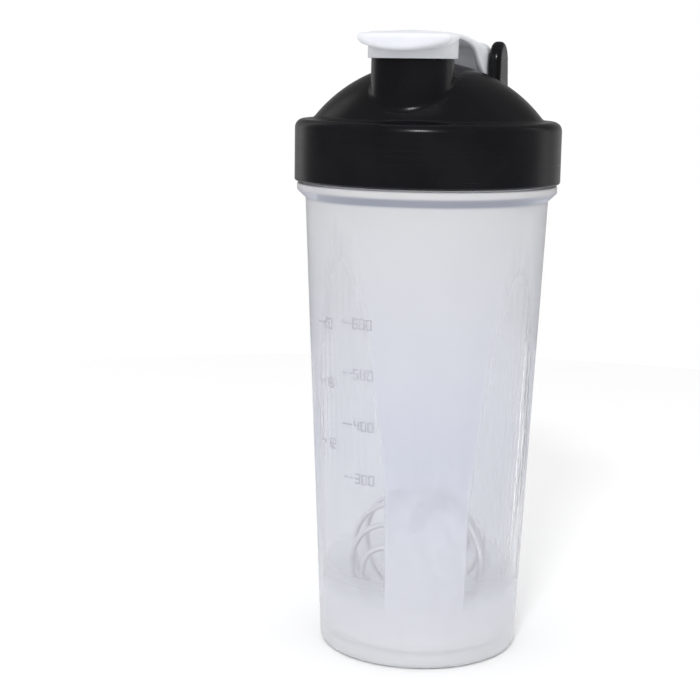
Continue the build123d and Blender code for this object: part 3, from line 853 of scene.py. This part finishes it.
# ---- Studio ----
FLOOR_RADIUS = 620.0
SKY_LOW_GLOW = 0.86
SKY_HIGH_GLOW = 1.0
GLOSS_GLOW = 0.15
BACK_GLOSS_GLOW = 0.38
BACK_START = 0.1
HORIZON_REACH = 0.35
FLOOR_COLOURS = ((0.96, 0.96, 0.96), (0.97, 0.97, 0.97))
FLOOR_CORNERS = 96
FLOOR_NOISE_SCALE = 3.0
FLOOR_ROUGHNESS = 0.9
BOTTLE_MIDDLE = (0.0, 0.0, 0.16)
LIGHTS = (
    ("key_front", (0.12, -1.07, 0.95), (0.18, 0.09), 6.0),
    ("left_back", (-0.80, 0.50, 0.45), (0.3, 0.9), 0.3),
    ("right_back", (0.75, 0.60, 0.40), (0.3, 0.9), 0.3),
)


def make_floor():
    """A wide round pale floor."""
    turns = np.linspace(0, 2 * math.pi, FLOOR_CORNERS, endpoint=False)
    points = np.stack([np.cos(turns), np.sin(turns), np.zeros_like(turns)], axis=1) * FLOOR_RADIUS
    floor = new_piece("studio_floor", points, [list(range(len(turns)))])
    material, tree, shader = start_material("studio_floor")
    tree.links.new(tint(tree, noise(tree, FLOOR_NOISE_SCALE), *FLOOR_COLOURS), shader.inputs["Base Color"])
    shader.inputs["Roughness"].default_value = FLOOR_ROUGHNESS
    paint(floor, material)


def make_world():
    """A white surround, brighter overhead; dim in reflections, a little less so low behind the bottle."""
    world = bpy.data.worlds.new("studio")
    world.use_nodes = True
    world.cycles.sampling_method = "NONE"
    bpy.context.scene.world = world
    tree = world.node_tree
    background = tree.nodes["Background"]
    direction = add_node(tree, "TexCoord").outputs["Generated"]
    height = add_node(tree, "SeparateXYZ", {"Vector": direction}).outputs["Z"]
    sky = add_node(tree, "MapRange", {"Value": height, "To Min": SKY_LOW_GLOW, "To Max": SKY_HIGH_GLOW})
    back = add_node(tree, "SeparateXYZ", {"Vector": direction}).outputs["Y"]
    back = add_node(tree, "MapRange", {"Value": back, "From Min": BACK_START, "To Max": BACK_GLOSS_GLOW})
    ends = {"From Max": HORIZON_REACH, "To Min": 1.0, "To Max": 0.0}
    level = add_node(tree, "MapRange", {"Value": height, **ends})
    inputs = {0: back.outputs[0], 1: level.outputs[0], 2: GLOSS_GLOW}
    surround = add_node(tree, "Math", inputs, operation="MULTIPLY_ADD").outputs[0]
    path = add_node(tree, "LightPath")
    gloss = add_node(tree, "Mix", {0: path.outputs["Is Glossy Ray"], 2: 1.0, 3: surround})
    light = add_node(tree, "Math", {0: sky.outputs[0], 1: gloss.outputs[0]}, operation="MULTIPLY")
    inputs = {0: path.outputs["Is Camera Ray"], 1: path.outputs["Transmission Depth"]}
    through = add_node(tree, "Math", inputs, operation="MAXIMUM")
    strength = add_node(tree, "Mix", {0: through.outputs[0], 2: light.outputs[0], 3: 1.0})
    tree.links.new(strength.outputs[0], background.inputs["Strength"])
    background.inputs["Color"].default_value = (1.0, 1.0, 1.0, 1.0)


def area_light(name, place, target, size, power):
    """A soft rectangular light aimed at a point."""
    light = bpy.data.lights.new(name, "AREA")
    light.shape = "RECTANGLE"
    light.size, light.size_y = size
    light.energy = power
    lamp = bpy.data.objects.new(name, light)
    bpy.context.scene.collection.objects.link(lamp)
    place, target = Vector(place), Vector(target)
    turn = (target - place).to_track_quat("-Z", "Y").to_matrix().to_4x4()
    lamp.matrix_world = Matrix.Translation(place) @ turn


make_floor()
make_world()
for name, place, size, power in LIGHTS:
    area_light(name, place, BOTTLE_MIDDLE, size, power)

# ---- Camera ----
CAMERA_AZIMUTH = 14.0
CAMERA_DISTANCE = 0.598
CAMERA_HEIGHT = 0.221
CAMERA_PAN = -2.68
CAMERA_PITCH = 10.15
CAMERA_ROLL = 0.81
CAMERA_LENS = 81.5


def make_camera():
    """The camera, level with the spout and a little to its right."""
    around = math.radians(CAMERA_AZIMUTH)
    aside, ahead = CAMERA_DISTANCE * math.sin(around), CAMERA_DISTANCE * math.cos(around)
    place = Vector((aside, -ahead, CAMERA_HEIGHT))
    heading = Matrix.Rotation(math.radians(CAMERA_AZIMUTH - CAMERA_PAN), 4, "Z")
    pitch = Matrix.Rotation(math.radians(90 - CAMERA_PITCH), 4, "X")
    roll = Matrix.Rotation(math.radians(CAMERA_ROLL), 4, "Z")
    data = bpy.data.cameras.new("camera")
    data.lens = CAMERA_LENS
    camera = bpy.data.objects.new("camera", data)
    bpy.context.scene.collection.objects.link(camera)
    camera.matrix_world = Matrix.Translation(place) @ heading @ pitch @ roll
    bpy.context.scene.camera = camera


make_camera()
bpy.context.scene.view_settings.view_transform = "Standard"
LIGHT_BOUNCES = 24
bpy.context.scene.cycles.transmission_bounces = LIGHT_BOUNCES
bpy.context.scene.cycles.max_bounces = LIGHT_BOUNCES

bpy.context.view_layer.update()
